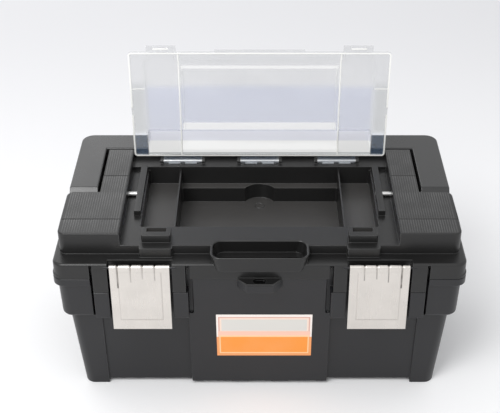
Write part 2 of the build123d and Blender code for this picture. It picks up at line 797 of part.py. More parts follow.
def cover_panel(z, inset):
    """The low raised field of the shut cover between its ribs, standing on a level."""
    half = cover_dome_x - cover_panel_side_margin - inset
    front = cover_front_y + cover_panel_front_margin
    rear = cover_rear_y - cover_panel_rear_margin
    profile = [(rear, z), (rear - cover_panel_rear_slope, z + cover_panel_rise),
               (front + cover_panel_front_slope, z + cover_panel_rise), (front, z)]
    return profile_x(profile, -half, half)


def closed_cover():
    """The clear cover as it lies shut over the organiser."""
    z0, z1 = cover_foot_z, cover_top_z
    under = z1 - cover_thickness
    envelope = cover_block(0, 0)
    cover = envelope - cover_block(cover_wall, cover_thickness)
    cover += cover_panel(z1, 0)
    cover -= cover_panel(under, cover_wall)
    ribs = both(slab(cover_rib_offset - cover_rib_width / 2, cover_rib_offset + cover_rib_width / 2,
                     cover_front_y + cover_wall / 2, cover_rear_y - cover_wall / 2, z0, z1))
    cover += (ribs & envelope) - cover_block(cover_wall, cover_thickness + cover_rib_width)
    cross_y = cover_hinge_y - cover_cross_rib_from_hinge
    shelf_under = cover_shelf_z - cover_thickness
    cross = slab(cover_dome_x - cover_wall / 2, cover_x - cover_wall / 2, cross_y - cover_rib_width / 2,
                 cross_y + cover_rib_width / 2, shelf_under - cover_rib_width / 4, shelf_under + 0.1)
    cover += both(cross)
    half = cover_pull_width / 2
    cover += slab(-half, half, cover_front_y - cover_pull_reach, cover_front_y + cover_wall,
                  cover_shelf_z - cover_thickness, cover_shelf_z)
    for station in (-catch_block_station, catch_block_station):
        half = cover_tab_width / 2
        cover += slab(station - half, station + half, cover_front_y - cover_tab_reach,
                      cover_front_y + cover_wall, under, z1)
        half = cover_leg_width / 2
        leg_y = cover_front_y - cover_tab_reach
        cover += slab(station - half, station + half, leg_y, leg_y + cover_leg_thickness,
                      under - cover_leg_length, under)
    half = cover_notch_width / 2
    cover -= both(slab(cover_x - 2 * cover_wall, cover_x + 1, handle_pivot_y - half,
                       handle_pivot_y + half, z0, cover_shelf_z - cover_thickness))
    for centre in cover_centres:
        x0 = centre - cover_knuckle_length / 2
        x1 = centre + cover_knuckle_length / 2
        cover += rod(x0, x1, cover_hinge_y, cover_hinge_z, cover_knuckle_radius)
        cover += slab(x0, x1, cover_rear_y - cover_wall / 2, cover_hinge_y, cover_hinge_z,
                      cover_shelf_z)
        cover -= rod(x0, x1, cover_hinge_y, cover_hinge_z, cover_pin_radius + cover_running_gap)
    return cover


def clear_cover():
    """The clear cover, standing open on its hinge."""
    hinge = Pos(0, cover_hinge_y, cover_hinge_z)
    return hinge * Rot(-90, 0, 0) * hinge.inverse() * closed_cover()


def cover_pin(centre):
    """One short steel pin of the cover's hinge."""
    half = cover_knuckle_length / 2 + cover_ear_gap + cover_ear_thickness
    return rod(centre - half, centre + half, cover_hinge_y, cover_hinge_z, cover_pin_radius)


def handle_outline(inset, z0, z1):
    """The folded handle's U in plan, drawn up between two heights, with its walls set in."""
    outer = rounded(inset - handle_x, handle_x - inset, -grip_rear_y, grip_rear_y - inset, z0, z1,
                    handle_corner - inset)
    inner = slab(-arm_inner_x - inset, arm_inner_x + inset, -2 * grip_rear_y, grip_front_y + inset, z0, z1)
    front = slab(-handle_x, handle_x, -2 * grip_rear_y, handle_pivot_y - handle_end_reach + inset, z0, z1)
    return outer - inner - front


def carry_handle():
    """The U-shaped carry handle, a ribbed channel that is open below, with a solid boss at each pivot."""
    handle = handle_outline(0, handle_foot_z, block_top_z)
    end_y = handle_pivot_y - handle_end_reach
    reach = handle_grip_depth / 2
    bevel = handle_end_bevel
    foot = handle_foot_bevel
    handle -= profile_x([(end_y - 1, block_top_z - bevel - 1), (end_y + bevel + 1, block_top_z + 1),
                         (end_y - 1, block_top_z + 1)], -handle_x, handle_x)
    handle -= profile_x([(end_y - 1, handle_foot_z + foot + 1), (end_y + foot + 1, handle_foot_z - 1),
                         (end_y - 1, handle_foot_z - 1)], -handle_x, handle_x)
    top = handle.faces().filter_by(Axis.Z).sort_by(Axis.Z)[-1]
    handle = fillet(top.edges(), block_edge_radius)

    hollow = handle_outline(handle_wall, handle_foot_z, block_top_z - handle_wall)
    hollow -= slab(-handle_x, handle_x, -2 * reach, handle_pivot_y + handle_boss_length, handle_foot_z,
                   block_top_z)
    pitch = 2 * arm_inner_x / (handle_rib_count + 1)
    for index in range(handle_rib_count):
        x = -arm_inner_x + pitch * (index + 1)
        hollow -= slab(x - handle_rib_thickness / 2, x + handle_rib_thickness / 2, grip_front_y,
                       grip_rear_y, handle_foot_z, block_top_z)
    handle -= hollow
    depth = arm_inner_x + handle_pin_arm_seat
    return handle - both(rod(arm_inner_x - 1, depth, handle_pivot_y, handle_pivot_z,
                             handle_pin_radius + handle_running_gap))


def handle_pin(side):
    """One steel handle pin, from the rib beside the bins through the side block into the arm."""
    end = arm_inner_x + handle_pin_arm_seat - handle_running_gap
    pin = rod(side_rib_x, end, handle_pivot_y, handle_pivot_z, handle_pin_radius)
    return pin if side > 0 else mirror(pin, about=Plane.YZ)


def hinge_pin(side):
    """One steel pin of the rear hinge."""
    half = hinge_middle_length / 2 + hinge_side_gap + hinge_outer_length
    centre = side * hinge_station
    return rod(centre - half, centre + half, hinge_y, hinge_z, hinge_pin_radius)


def tray():
    """The lift-out tray, hung by its flange on the step inside the tub."""
    top_z = band_z + wall + tray_flange_thickness
    foot_z = top_z - tray_depth
    gap = body_top_inset + wall + recess_depth + tray_gap
    outer = drafted(gap + tray_draft, body_corner - wall, foot_z, gap, body_corner - wall, top_z,
                    body_side_outset)
    flange_x = rim_x - band_foot_inset - wall - tray_flange_gap_x
    flange_y = -pocket_y - wall - tray_flange_gap_y
    flange = rounded(-flange_x, flange_x, -flange_y, flange_y, band_z + wall, top_z, body_corner - wall)
    hollow = drafted(gap + tray_draft + tray_wall, body_corner - 2 * wall, foot_z + tray_wall,
                     gap + tray_wall, body_corner - 2 * wall, top_z, body_side_outset)
    shell = outer + flange - hollow
    spine_x = rim_x + body_side_outset - gap - tray_wall / 2 - tray_draft
    spine = slab(-spine_x, spine_x, -tray_wall / 2, tray_wall / 2, foot_z + tray_wall / 2, top_z)
    for x in (-tray_handle_span / 2, tray_handle_span / 2):
        half = tray_handle_post / 2
        spine += slab(x - half, x + half, -half, half, foot_z + tray_wall / 2, top_z)
    return shell + spine


def tray_handle():
    """The tray's arched handle, standing on the posts of the tray's spine."""
    z0 = band_z + wall + tray_flange_thickness
    z1 = z0 + tray_handle_height
    half = tray_handle_span / 2 + tray_handle_post / 2
    inner = half - tray_handle_post
    depth = tray_handle_thickness / 2
    arch = slab(-half, half, -depth, depth, z0, z1)
    arch -= slab(-inner, inner, -depth, depth, z0, z1 - tray_handle_bar)
    upright = arch.edges().filter_by(Axis.Y).group_by(Axis.Z)[-1]
    return fillet(upright, tray_handle_bar - 1)


def front_label():
    """The sticker on the raised centre panel."""
    z0 = label_foot_z
    z1 = label_foot_z + label_height
    profile = [(panel_face(z0), z0), (panel_face(z1), z1), (panel_face(z1) - label_thickness, z1),
               (panel_face(z0) - label_thickness, z0)]
    half = label_width / 2
    return profile_x(profile, label_offset - half, label_offset + half)


def build():
    """Every sub-part by its name."""
    return {
        "tub_shell": tub_shell(),
        "front_label": front_label(),
        "lift_out_tray": tray(),
        "tray_handle": tray_handle(),
        "lid_shell": lid_shell(),
        "bin_divider_left": bin_divider(-1),
        "bin_divider_right": bin_divider(1),
        "lid_hinge_pin_left": hinge_pin(-1),
        "lid_hinge_pin_right": hinge_pin(1),
        "clear_cover": clear_cover(),
        "cover_pin_left": cover_pin(cover_centres[0]),
        "cover_pin_centre": cover_pin(cover_centres[1]),
        "cover_pin_right": cover_pin(cover_centres[2]),
        "carry_handle": carry_handle(),
        "handle_pin_left": handle_pin(-1),
        "handle_pin_right": handle_pin(1),
        "latch_left": latch(-1),
        "latch_right": latch(1),
        "latch_pin_left": latch_pin(-1),
        "latch_pin_right": latch_pin(1),
    }


os.makedirs("parts", exist_ok=True)
for name, shape in build().items():
    export_step(shape, "parts/" + name + ".step")
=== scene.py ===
"""Looks of the portable tool box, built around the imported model.

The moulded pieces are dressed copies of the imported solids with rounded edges. The stamped latches,
the ridges on the side blocks and the studio are made here. Every length is in metres, in the
model's own frame: X along the front, -Y towards the front, Z up.
"""

from __future__ import annotations

import logging
import math
from dataclasses import dataclass, field
from enum import Enum
from typing import Any, Callable, Sequence

import bmesh
import bpy
from bmesh.types import BMFace, BMVert, BMesh
from bpy.types import Material, Mesh, MeshPolygon, Node, NodeSocket, NodeTree, Object
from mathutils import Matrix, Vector
from mathutils.bvhtree import BVHTree
from mathutils.kdtree import KDTree

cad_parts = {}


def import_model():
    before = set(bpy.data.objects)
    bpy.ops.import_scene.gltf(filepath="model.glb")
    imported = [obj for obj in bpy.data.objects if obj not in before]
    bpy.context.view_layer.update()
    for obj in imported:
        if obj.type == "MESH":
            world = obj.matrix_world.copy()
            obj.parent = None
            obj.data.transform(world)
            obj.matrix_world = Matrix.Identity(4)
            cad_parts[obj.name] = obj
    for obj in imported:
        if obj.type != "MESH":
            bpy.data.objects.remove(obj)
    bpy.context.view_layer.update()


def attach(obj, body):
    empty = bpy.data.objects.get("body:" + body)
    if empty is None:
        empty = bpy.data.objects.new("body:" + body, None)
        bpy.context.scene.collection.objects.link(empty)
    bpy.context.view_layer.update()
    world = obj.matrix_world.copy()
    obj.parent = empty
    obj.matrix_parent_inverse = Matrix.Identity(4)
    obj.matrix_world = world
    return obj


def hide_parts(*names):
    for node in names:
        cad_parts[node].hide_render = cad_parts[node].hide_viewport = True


LOG = logging.getLogger("tool_box")
Colour = tuple[float, float, float]

# The tone of the shade painted along the latch's stamped grooves and steps.
CREASE_SHADE_TONE: Colour = (0.07, 0.062, 0.055)
NODES_PER_ROW = 12
NODE_SPACING = (190.0, -320.0)

# The sockets that a Mix node uses for colours.
MIX_FACTOR, MIX_FIRST, MIX_SECOND, MIX_RESULT = 0, 6, 7, 2

# The part of a noise texture's values that is stretched to the whole range.
NOISE_RANGE = (0.3, 0.7)


class Side(Enum):
    """The two sides of the box, by the sign of X."""

    LEFT = -1
    RIGHT = 1

    @property
    def word(self) -> str:
        """The side's name as the nodes spell it."""
        return self.name.lower()


class Edge(Enum):
    """How far the edges of a moulded piece are rounded."""

    SOFT = 0.0007
    CRISP = 0.0004
    CLEAR = 0.0003
    THIN = 0.0002


class NodeSheet:
    """A node tree with short calls to add and link nodes."""

    def __init__(self, tree: NodeTree) -> None:
        """Keeps the shader or geometry node tree to fill."""
        self.tree = tree
        self.count = 0

    def add(self, kind: str, **settings: Any) -> Node:
        """Adds a node.

        Args:
            kind: The node's type name.
            settings: Properties of the node, set by name.

        Returns:
            The new node.
        """
        node = self.tree.nodes.new(kind)
        row, column = divmod(self.count, NODES_PER_ROW)
        node.location = (column * NODE_SPACING[0], row * NODE_SPACING[1])
        self.count += 1
        for name, value in settings.items():
            setattr(node, name, value)
        return node

    def feed(self, socket: NodeSocket, value: Any) -> None:
        """Sets a socket's value, or links another socket to it.

        Args:
            socket: The input to set.
            value: A number, a tuple or an output socket.
        """
        if isinstance(value, NodeSocket):
            self.tree.links.new(value, socket)
        elif isinstance(value, tuple) and len(value) == 3 and socket.type == "RGBA":
            socket.default_value = (*value, 1.0)
        else:
            socket.default_value = value

    def fill(self, node: Node, **values: Any) -> Node:
        """Feeds several inputs of a node.

        Args:
            node: The node.
            values: Its inputs, by name with underscores for spaces.

        Returns:
            The same node.
        """
        for name, value in values.items():
            self.feed(node.inputs[name.replace("_", " ")], value)
        return node

    def math(self, operation: str, a: Any, b: Any = 0.0, clamp: bool = False) -> NodeSocket:
        """Adds a math node.

        Args:
            operation: The operation's name.
            a: First number or socket.
            b: Second number or socket.
            clamp: Whether the result is kept between 0 and 1.

        Returns:
            The result's socket.
        """
        node = self.add("ShaderNodeMath", operation=operation, use_clamp=clamp)
        self.feed(node.inputs[0], a)
        self.feed(node.inputs[1], b)
        return node.outputs[0]

    def times(self, a: Any, b: Any) -> NodeSocket:
        """Multiplies two numbers or sockets."""
        return self.math("MULTIPLY", a, b)

    def blend(self, factor: Any, a: Any, b: Any) -> NodeSocket:
        """Mixes two colours.

        Args:
            factor: How much of the second colour shows.
            a: First colour or socket.
            b: Second colour or socket.

        Returns:
            The mixed colour's socket.
        """
        node = self.add("ShaderNodeMix", data_type="RGBA")
        self.feed(node.inputs[MIX_FACTOR], factor)
        self.feed(node.inputs[MIX_FIRST], a)
        self.feed(node.inputs[MIX_SECOND], b)
        return node.outputs[MIX_RESULT]

    def ramp(self, value: Any, low: Any, high: Any, to_low: Any = 0.0,
             to_high: Any = 1.0) -> NodeSocket:
        """Maps a range onto another, smoothly and clamped.

        Args:
            value: The number's socket.
            low: Start of the range.
            high: End of the range.
            to_low: Result at the start.
            to_high: Result at the end.

        Returns:
            The result's socket.
        """
        node = self.add("ShaderNodeMapRange", interpolation_type="SMOOTHSTEP")
        for socket, number in zip(node.inputs[:5], (value, low, high, to_low, to_high)):
            self.feed(socket, number)
        return node.outputs[0]

    def place(self) -> NodeSocket:
        """Adds the coordinates in the object's own frame."""
        return self.add("ShaderNodeTexCoord").outputs["Object"]

    def split(self, vector: NodeSocket) -> tuple[NodeSocket, ...]:
        """Splits a vector into its X, Y and Z."""
        return tuple(self.fill(self.add("ShaderNodeSeparateXYZ"), Vector=vector).outputs)

    def noise(self, vector: Any, scale: Any, detail: float) -> Node:
        """Adds a noise texture. The detail is its number of finer layers."""
        node = self.add("ShaderNodeTexNoise", noise_dimensions="3D")
        return self.fill(node, Vector=vector, Scale=scale, Detail=detail)

    def bump(self, height: Any, strength: float, distance: float) -> NodeSocket:
        """Adds a bump from a height and returns its normal's socket."""
        node = self.add("ShaderNodeBump")
        return self.fill(node, Height=height, Strength=strength, Distance=distance).outputs[0]

    def group(self, tree: NodeTree, **values: Any) -> Node:
        """Places a node group and feeds its inputs, as fill does."""
        return self.fill(self.add("ShaderNodeGroup", node_tree=tree), **values)


class SurfaceEffects:
    """The shader groups that more than one finish uses."""

    def __init__(self) -> None:
        """Builds each group once."""
        self.grain = self._grain()
        self.edge_wear = self._edge_wear()
        self.handling = self._handling()
        self.box_mask = self._box_mask()

    @staticmethod
    def _start(name: str, inputs: dict[str, float],
               outputs: Sequence[str]) -> tuple[NodeSheet, Node, Node]:
        """Opens a group with float sockets.

        Args:
            name: The group's name.
            inputs: Input names with their usual values.
            outputs: Output names.

        Returns:
            The sheet, the group's input node and its output node.
        """
        tree = bpy.data.node_groups.new(name, "ShaderNodeTree")
        for label, value in inputs.items():
            socket = tree.interface.new_socket(label, in_out="INPUT", socket_type="NodeSocketFloat")
            socket.default_value = value
        for label in outputs:
            tree.interface.new_socket(label, in_out="OUTPUT", socket_type="NodeSocketFloat")
        sheet = NodeSheet(tree)
        return sheet, sheet.add("NodeGroupInput"), sheet.add("NodeGroupOutput")

    def _grain(self) -> NodeTree:
        """Fine eroded grain of a textured mould, as a height and a mask.

        Returns:
            The group's tree.
        """
        softness, cell_share, noise_part, cell_part = 0.4, 0.6, 0.7, 0.3
        low, high = 0.35, 0.65
        sheet, given, out = self._start("mould_grain", {"Scale": 1500.0}, ("Height", "Mask"))
        place, scale = sheet.place(), given.outputs["Scale"]
        noise = sheet.fill(sheet.noise(place, scale, 2.0), Roughness=softness)
        cells = sheet.add("ShaderNodeTexVoronoi", feature="SMOOTH_F1")
        sheet.fill(cells, Vector=place, Scale=sheet.times(scale, cell_share))
        height = sheet.math("ADD", sheet.times(noise.outputs["Fac"], noise_part),
                            sheet.times(cells.outputs["Distance"], cell_part))
        sheet.fill(out, Height=height, Mask=sheet.ramp(height, low, high))
        return sheet.tree

    def _edge_wear(self) -> NodeTree:
        """Mask of the rounded edges, broken up by noise, where hands and benches polish them and
        where the finishes paint their highlights.

        Returns:
            The group's tree.
        """
        breakup, least_worn = 60.0, 0.45
        flat, rounded = 0.995, 0.86
        sheet, given, out = self._start("edge_wear", {"Radius": 0.001}, ("Mask",))
        bevel = sheet.fill(sheet.add("ShaderNodeBevel", samples=6), Radius=given.outputs["Radius"])
        shape = sheet.add("ShaderNodeNewGeometry")
        dot = sheet.add("ShaderNodeVectorMath", operation="DOT_PRODUCT")
        sheet.feed(dot.inputs[0], bevel.outputs["Normal"])
        sheet.feed(dot.inputs[1], shape.outputs["Normal"])
        edge = sheet.ramp(dot.outputs["Value"], flat, rounded)
        noise = sheet.noise(sheet.place(), breakup, 3.0)
        worn_and_highlit = sheet.ramp(noise.outputs["Fac"], *NOISE_RANGE, least_worn, 1.0)
        sheet.fill(out, Mask=sheet.math("MULTIPLY", edge, worn_and_highlit, clamp=True))
        return sheet.tree

    def _handling(self) -> NodeTree:
        """Slow clouds, as dust and handling leave them, and fine streaks that vary along X.

        Returns:
            The group's tree.
        """
        streak_gain = 22.0
        inputs = {"Scale": 14.0, "Stretch": 1.0}
        sheet, given, out = self._start("handling_marks", inputs, ("Cloud", "Streak"))
        place, scale, stretch = sheet.place(), given.outputs["Scale"], given.outputs["Stretch"]
        cloud = sheet.noise(place, scale, 5.0)
        x, y, z = sheet.split(place)
        join = sheet.add("ShaderNodeCombineXYZ")
        sheet.fill(join, X=x, Y=sheet.times(y, stretch), Z=sheet.times(z, stretch))
        streak = sheet.noise(join.outputs[0], sheet.times(scale, streak_gain), 4.0)
        sheet.fill(out, Cloud=sheet.ramp(cloud.outputs["Fac"], *NOISE_RANGE),
                   Streak=sheet.ramp(streak.outputs["Fac"], *NOISE_RANGE))
        return sheet.tree

    def _box_mask(self) -> NodeTree:
        """Mask that is 1 in an upright box of X and Z and 0 outside, on one side or on both.

        Returns:
            The group's tree.
        """
        inputs = {"Centre X": 0.0, "Half X": 0.01, "Low Z": 0.0, "High Z": 0.01, "Blur": 0.0001,
                  "Both Sides": 0.0}
        sheet, given, out = self._start("box_mask", inputs, ("Mask",))
        centre, half, low, high, blur, both = given.outputs[:6]
        across, _, height = sheet.split(sheet.place())
        fold = sheet.math("SUBTRACT", sheet.math("ABSOLUTE", across), across)
        across = sheet.math("ADD", across, sheet.times(fold, both))
        away = sheet.math("ABSOLUTE", sheet.math("SUBTRACT", across, centre))
        above = sheet.math("SUBTRACT", height, low)
        below = sheet.math("SUBTRACT", high, height)
        nearest = sheet.math("MINIMUM", sheet.math("SUBTRACT", half, away),
                             sheet.math("MINIMUM", above, below))
        edge = sheet.math("DIVIDE", nearest, blur)
        sheet.fill(out, Mask=sheet.math("ADD", edge, 0.5, clamp=True))
        return sheet.tree


def open_material(name: str) -> tuple[Material, NodeSheet, Node]:
    """Opens a material with a Principled BSDF.

    Args:
        name: The material's name.

    Returns:
        The material, its sheet and the Principled BSDF.
    """
    material = bpy.data.materials.new(name)
    material.use_nodes = True
    tree = material.node_tree
    tree.nodes.clear()
    sheet = NodeSheet(tree)
    shader = sheet.add("ShaderNodeBsdfPrincipled")
    sheet.fill(sheet.add("ShaderNodeOutputMaterial"), Surface=shader.outputs[0])
    return material, sheet, shader


@dataclass(frozen=True)
class Patch:
    """An upright rectangle, seen along Y, that shows another tone, by default the painted shade of a
    crease.

    Attributes:
        centre_x: X of its centre.
        half_x: Half of its width.
        low_z: Its lowest Z.
        high_z: Its highest Z.
        shows: How much of its tone shows.
        tone: Its colour.
        blur: Width of its soft rim.
        both_sides: Whether it also lies mirrored over X.
    """

    centre_x: float
    half_x: float
    low_z: float
    high_z: float
    shows: float
    tone: Colour = CREASE_SHADE_TONE
    blur: float = 0.0009
    both_sides: bool = True

    def mask(self, sheet: NodeSheet, effects: SurfaceEffects) -> NodeSocket:
        """Places the rectangle's mask.

        Args:
            sheet: The material's sheet.
            effects: The shared shader groups.

        Returns:
            The mask's socket.
        """
        node = sheet.group(effects.box_mask, Centre_X=self.centre_x, Half_X=self.half_x,
                           Low_Z=self.low_z, High_Z=self.high_z, Blur=self.blur,
                           Both_Sides=float(self.both_sides))
        return node.outputs["Mask"]


@dataclass(frozen=True)
class MouldedPlastic:
    """Matt textured plastic whose rounded edges are polished by hands and painted brighter as a
    highlight.
    """

    name: str
    colour: Colour
    worn_and_highlit: Colour
    roughness: float = 0.28
    specular: float = 0.5
    grain_scale: float = 1500.0
    grain_strength: float = 0.5
    grain_depth: float = 0.00004
    grain_roughness: float = 0.06
    wear_radius: float = 0.0013
    worn_and_highlit_shows: float = 0.8
    wear_polish: float = 0.16
    cloud_scale: float = 9.0
    cloud_gain: float = 1.22
    cloud_shows: float = 0.55
    cloud_roughness: float = 0.08

    def build(self, effects: SurfaceEffects) -> Material:
        """Makes the material.

        Args:
            effects: The shared shader groups.

        Returns:
            The finished material.
        """
        material, sheet, shader = open_material(self.name)
        grain = sheet.group(effects.grain, Scale=self.grain_scale)
        edge_mask = sheet.group(effects.edge_wear, Radius=self.wear_radius).outputs["Mask"]
        cloud = sheet.group(effects.handling, Scale=self.cloud_scale).outputs["Cloud"]
        light = tuple(part * self.cloud_gain for part in self.colour)
        clouded = sheet.blend(sheet.times(cloud, self.cloud_shows), self.colour, light)
        rough = sheet.math("ADD", sheet.times(cloud, self.cloud_roughness),
                           sheet.times(grain.outputs["Mask"], self.grain_roughness))
        rough = sheet.math("ADD", rough, self.roughness)
        polish = sheet.times(edge_mask, self.wear_polish)
        # The rubbed edges' brighter colour is partly rubbing and partly a painted highlight.
        sheet.fill(shader, Specular_IOR_Level=self.specular,
                   Base_Color=sheet.blend(sheet.times(edge_mask, self.worn_and_highlit_shows), clouded, self.worn_and_highlit),
                   Roughness=sheet.math("SUBTRACT", rough, polish, clamp=True),
                   Normal=sheet.bump(grain.outputs["Height"], self.grain_strength,
                                     self.grain_depth))
        return material


@dataclass(frozen=True)
class StampedSteel:
    """Bright steel sheet with rolling streaks, small scuffs and painted shade along its stamped
    grooves and steps.
    """

    name: str
    colour: Colour = (0.765, 0.725, 0.68)
    roughness: float = 0.26
    relief: float = 0.2
    crease_shades: tuple[Patch, ...] = ()
    crease_shade_clouds: tuple[float, float] = (0.2, 0.7)
    crease_shade_break: float = 0.55
    streak_scale: float = 30.0
    streak_stretch: float = 0.05
    streak_depth: float = 0.00002
    streak_roughness: float = 0.14
    cloud_scale: float = 45.0
    dull_share: float = 0.86
    dull_shows: float = 0.4
    wear_radius: float = 0.0005
    wear_polish: float = 0.1

    def build(self, effects: SurfaceEffects) -> Material:
        """Makes the material.

        Args:
            effects: The shared shader groups.

        Returns:
            The finished material.
        """
        material, sheet, shader = open_material(self.name)
        streaks = sheet.group(effects.handling, Scale=self.streak_scale,
                              Stretch=self.streak_stretch).outputs["Streak"]
        cloud = sheet.group(effects.handling, Scale=self.cloud_scale).outputs["Cloud"]
        edge_mask = sheet.group(effects.edge_wear, Radius=self.wear_radius).outputs["Mask"]
        dull = tuple(part * self.dull_share for part in self.colour)
        base = sheet.blend(sheet.times(cloud, self.dull_shows), self.colour, dull)
        # Each crease gets a dark line of painted shade, broken up by the clouds.
        for crease in self.crease_shades:
            broken = sheet.ramp(cloud, *self.crease_shade_clouds, crease.shows,
                                crease.shows * self.crease_shade_break)
            line = sheet.times(crease.mask(sheet, effects), broken)
            base = sheet.blend(line, base, crease.tone)
        rough = sheet.math("ADD", sheet.times(streaks, self.streak_roughness), self.roughness)
        polish = sheet.times(edge_mask, self.wear_polish)
        sheet.fill(shader, Base_Color=base, Metallic=1.0,
                   Roughness=sheet.math("SUBTRACT", rough, polish, clamp=True),
                   Normal=sheet.bump(streaks, self.relief, self.streak_depth))
        return material


@dataclass(frozen=True)
class ClearPlastic:
    """Clear plastic with a slight haze, painted highlights on its edges and knuckles, and bands of
    painted reflection and shade.
    """

    name: str
    colour: Colour = (0.44, 0.45, 0.47)
    haze: float = 0.17
    # The edges' colour and haze are a painted highlight.
    edge: Colour = (0.97, 0.98, 0.94)
    edge_highlight_haze: float = 0.70
    knuckle_top: float = 0.2016
    knuckle_foot: float = 0.190
    knuckle_reach: float = 0.2
    knuckle_blur: float = 0.0003
    knuckle_pitch: float = 0.090
    glint_near: float = 0.0030
    glint_near_blur: float = 0.0006
    glint_far: float = 0.0165
    glint_far_blur: float = 0.0008
    glint_tone: Colour = (0.80, 0.84, 0.88)
    glint_haze: tuple[float, float] = (0.10, 0.72)
    cloud_scale: float = 12.0
    cloud_haze: float = 0.04
    cloud_roughness: tuple[float, float] = (0.06, 0.14)
    wear_radius: float = 0.0012
    refraction: float = 1.58
    specular: float = 0.8
    # Painted bands over the sheets: a blue tint at the top, white and grey strips along the bends as
    # painted reflection, thin painted highlights, and darker tones at the corners and over the
    # knuckles as painted shade where dark parts show through.
    bands: tuple[Patch, ...] = (
        Patch(0.0, 0.1295, 0.2385, 0.2960, 0.25, (0.33, 0.38, 0.58), 0.0080),
        Patch(0.0, 0.1290, 0.2255, 0.2395, 0.86, (0.91, 0.92, 0.99), 0.0020),
        Patch(0.0, 0.1290, 0.2120, 0.2265, 0.97, (1.0, 1.0, 0.99), 0.0012),
        Patch(0.0, 0.1290, 0.2030, 0.2125, 0.86, (0.60, 0.62, 0.62), 0.0016),
        Patch(0.0, 0.0885, 0.2400, 0.2490, 0.38, (1.0, 1.0, 1.0), 0.0010),
        Patch(0.0, 0.0885, 0.3175, 0.3225, 0.40, (1.0, 1.0, 0.99), 0.0014),
        Patch(0.1385, 0.0086, 0.2385, 0.3020, 0.26, (0.34, 0.36, 0.37), 0.0080),
        Patch(0.1385, 0.0086, 0.2030, 0.2385, 0.14, (0.17, 0.26, 0.40), 0.0008),
        Patch(0.0, 0.2000, 0.1900, 0.2086, 0.14, (0.20, 0.25, 0.33), 0.0004),
    )

    def _glint(self, sheet: NodeSheet) -> NodeSocket:
        """Mask of the painted glints: two bright lengths of each knuckle, either side of its middle.

        Args:
            sheet: The material's sheet.

        Returns:
            The mask's socket.
        """
        x = sheet.split(sheet.place())[0]
        # Whole pitches keep the value positive, and half a pitch puts a knuckle in its middle.
        turn = sheet.math("ADD", sheet.math("DIVIDE", x, self.knuckle_pitch), 10.5)
        local = sheet.math("SUBTRACT", sheet.math("FRACT", turn), 0.5)
        away = sheet.times(sheet.math("ABSOLUTE", local), self.knuckle_pitch)
        near = sheet.ramp(away, self.glint_near - self.glint_near_blur,
                          self.glint_near + self.glint_near_blur)
        far = sheet.ramp(away, self.glint_far + self.glint_far_blur,
                         self.glint_far - self.glint_far_blur)
        return sheet.math("MULTIPLY", near, far, clamp=True)

    def build(self, effects: SurfaceEffects) -> Material:
        """Makes the material.

        Args:
            effects: The shared shader groups.

        Returns:
            The finished material.
        """
        material, sheet, shader = open_material(self.name)
        cloud = sheet.group(effects.handling, Scale=self.cloud_scale).outputs["Cloud"]
        edge_mask = sheet.group(effects.edge_wear, Radius=self.wear_radius).outputs["Mask"]
        layers: list[tuple[Any, Colour, Any]] = [
            (band.mask(sheet, effects), band.tone, band.shows) for band in self.bands]
        layers.append((edge_mask, self.edge, self.edge_highlight_haze))
        # The knuckles get painted glints, a painted highlight in a pale tone.
        knuckles = Patch(0.0, self.knuckle_reach, self.knuckle_foot, self.knuckle_top, 1.0,
                         self.glint_tone, self.knuckle_blur)
        glints = sheet.ramp(self._glint(sheet), 0.0, 1.0, *self.glint_haze)
        layers.append((knuckles.mask(sheet, effects), knuckles.tone, glints))
        base: Any = self.colour
        alpha = sheet.math("ADD", sheet.times(cloud, self.cloud_haze), self.haze)
        for mask, tone, haze in layers:
            base = sheet.blend(mask, base, tone)
            gain = sheet.times(sheet.math("SUBTRACT", haze, alpha), mask)
            alpha = sheet.math("ADD", alpha, gain, clamp=True)
        sheet.fill(shader, Base_Color=base, Alpha=alpha, IOR=self.refraction,
                   Roughness=sheet.ramp(cloud, 0.0, 1.0, *self.cloud_roughness),
                   Specular_IOR_Level=self.specular)
        return material


@dataclass(frozen=True)
class PrintedBand:
    """A rectangle on the sticker, inset from its sides, with edges as shares of its height."""

    inset: float
    low: float
    high: float
    tone: Colour


@dataclass(frozen=True)
class PrintedFilm:
    """The sticker's film: a pale field in a thin frame over an orange field with a cream line."""

    name: str
    centre_x: float = 0.005
    half_x: float = 0.0525
    low_z: float = 0.047
    height: float = 0.064
    blur: float = 0.00035
    paper: Colour = (0.93, 0.86, 0.81)
    bands: tuple[PrintedBand, ...] = (
        PrintedBand(0.0022, 0.595, 0.945, (0.72, 0.40, 0.33)),
        PrintedBand(0.0036, 0.602, 0.920, (0.93, 0.74, 0.62)),
        PrintedBand(0.0056, 0.615, 0.885, (0.71, 0.69, 0.65)),
        PrintedBand(0.0016, 0.465, 0.600, (0.96, 0.58, 0.45)),
        PrintedBand(-0.001, -0.02, 0.465, (0.93, 0.36, 0.12)),
        PrintedBand(0.0030, 0.060, 0.500, (0.98, 0.66, 0.36)),
        PrintedBand(0.0042, 0.082, 0.465, (0.98, 0.325, 0.042)),
    )
    dust: Colour = (0.9, 0.8, 0.7)
    dust_shows: float = 0.05
    cloud_scale: float = 30.0
    cloud_roughness: tuple[float, float] = (0.33, 0.42)

    def build(self, effects: SurfaceEffects) -> Material:
        """Makes the material.

        Args:
            effects: The shared shader groups.

        Returns:
            The finished material.
        """
        material, sheet, shader = open_material(self.name)
        colour: Any = self.paper
        for band in self.bands:
            low, high = (self.low_z + share * self.height for share in (band.low, band.high))
            patch = Patch(self.centre_x, self.half_x - band.inset, low, high, 1.0, band.tone,
                          self.blur, both_sides=False)
            colour = sheet.blend(patch.mask(sheet, effects), colour, patch.tone)
        cloud = sheet.group(effects.handling, Scale=self.cloud_scale).outputs["Cloud"]
        sheet.fill(shader,
                   Base_Color=sheet.blend(sheet.times(cloud, self.dust_shows), colour, self.dust),
                   Roughness=sheet.ramp(cloud, 0.0, 1.0, *self.cloud_roughness))
        return material


Finish = MouldedPlastic | StampedSteel | ClearPlastic | PrintedFilm

